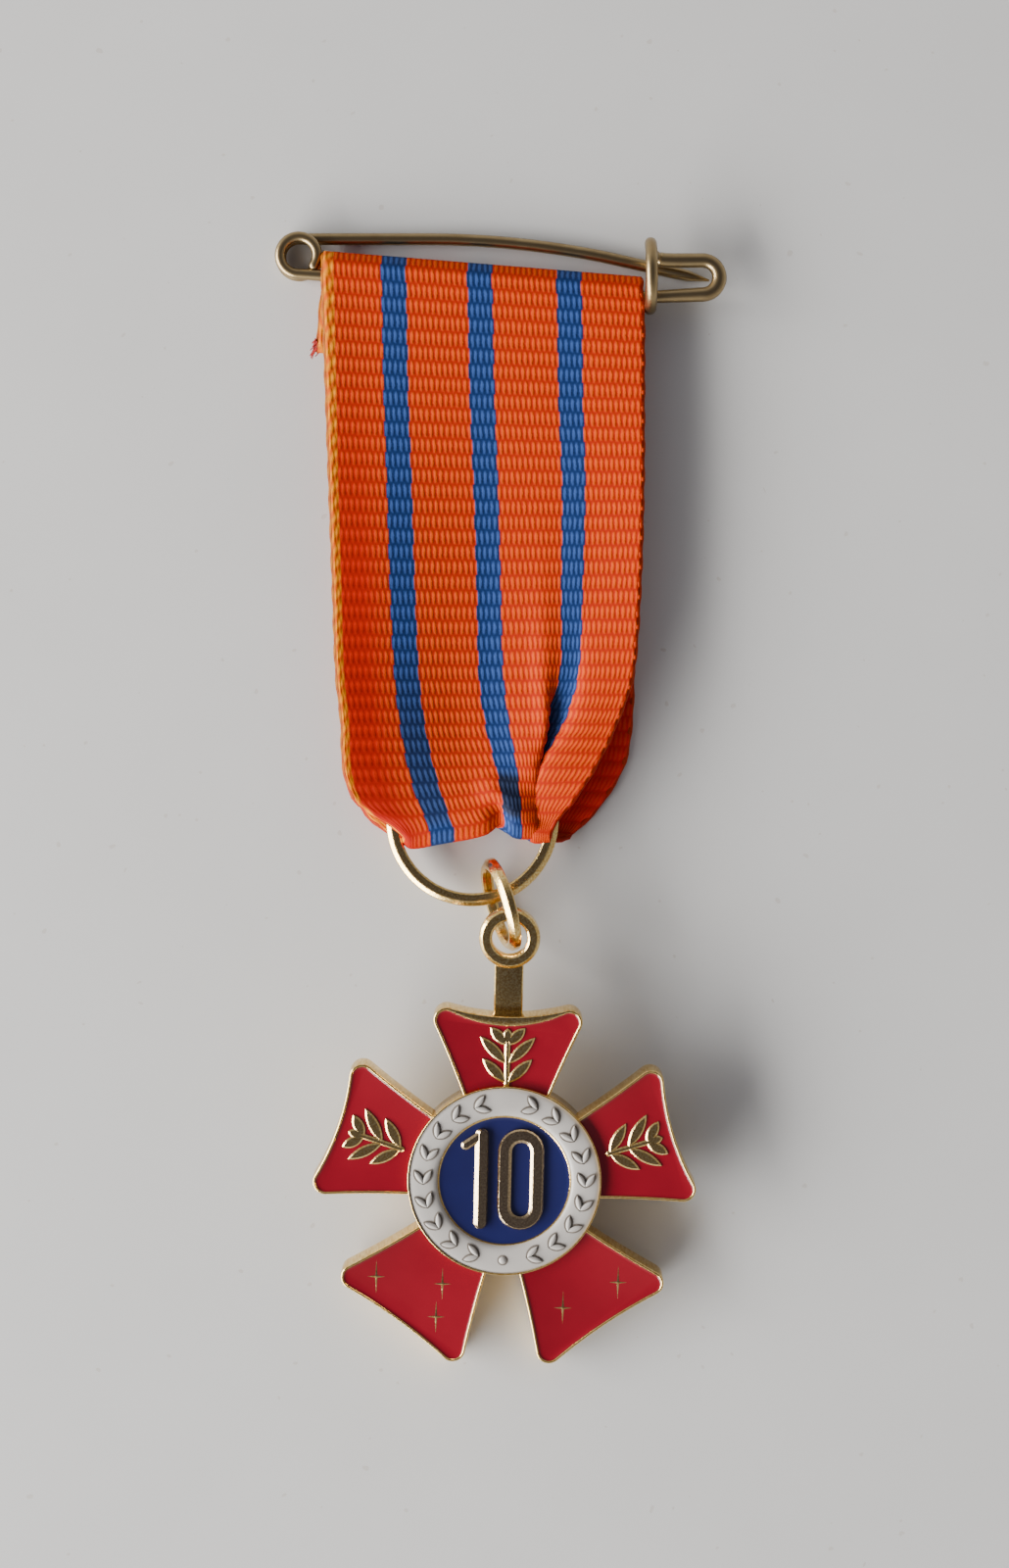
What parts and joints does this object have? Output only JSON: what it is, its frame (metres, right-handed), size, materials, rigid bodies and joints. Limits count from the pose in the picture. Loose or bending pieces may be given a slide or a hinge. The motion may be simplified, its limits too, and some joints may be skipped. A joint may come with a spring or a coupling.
{
  "type": "participation medal",
  "caption": "Pinned, folded ribbon that carries a five-armed enamelled cross on a jump ring and a link, lying on its back; the pin opens and the cross swings up.",
  "frame": {"origin": "on the surface the medal lies on, under the middle of its box", "axes": "+X along the pin towards its catch, +Y from the cross up to the pin, +Z off the surface, out of the medal's front"},
  "size_m": [0.0354, 0.0885, 0.0073],
  "materials": {
    "pin_wire": "satin",
    "ribbon": "ribbed weave with three blue stripes",
    "gilt": "polished",
    "red_enamel": "gloss",
    "white_enamel": "satin gloss",
    "blue_enamel": "gloss"
  },
  "bodies": {
    "hanger": {"pin_body": "pin_wire", "ribbon": "ribbon", "ribbon_ring": "gilt", "link_ring": "gilt"},
    "needle": {"pin_needle": "pin_wire"},
    "pendant": {"medal_cross": "gilt", "arm_enamel_1": "red_enamel", "arm_enamel_2": "red_enamel", "arm_enamel_3": "red_enamel", "arm_enamel_4": "red_enamel", "arm_enamel_5": "red_enamel", "white_ring": "white_enamel", "blue_disc": "blue_enamel"}
  },
  "joints": [
    {"name": "needle_open", "type": "hinge", "parent": "hanger", "child": "needle", "pos_m": [-0.0158, 0.04215, 0.00052], "axis": [0, 0, 1], "range_deg": [0, 35]},
    {"name": "cross_swing", "type": "hinge", "parent": "hanger", "child": "pendant", "pos_m": [0.00074, -0.00911, 0.00556], "axis": [-1, 0, 0], "range_deg": [0, 80]}
  ]
}
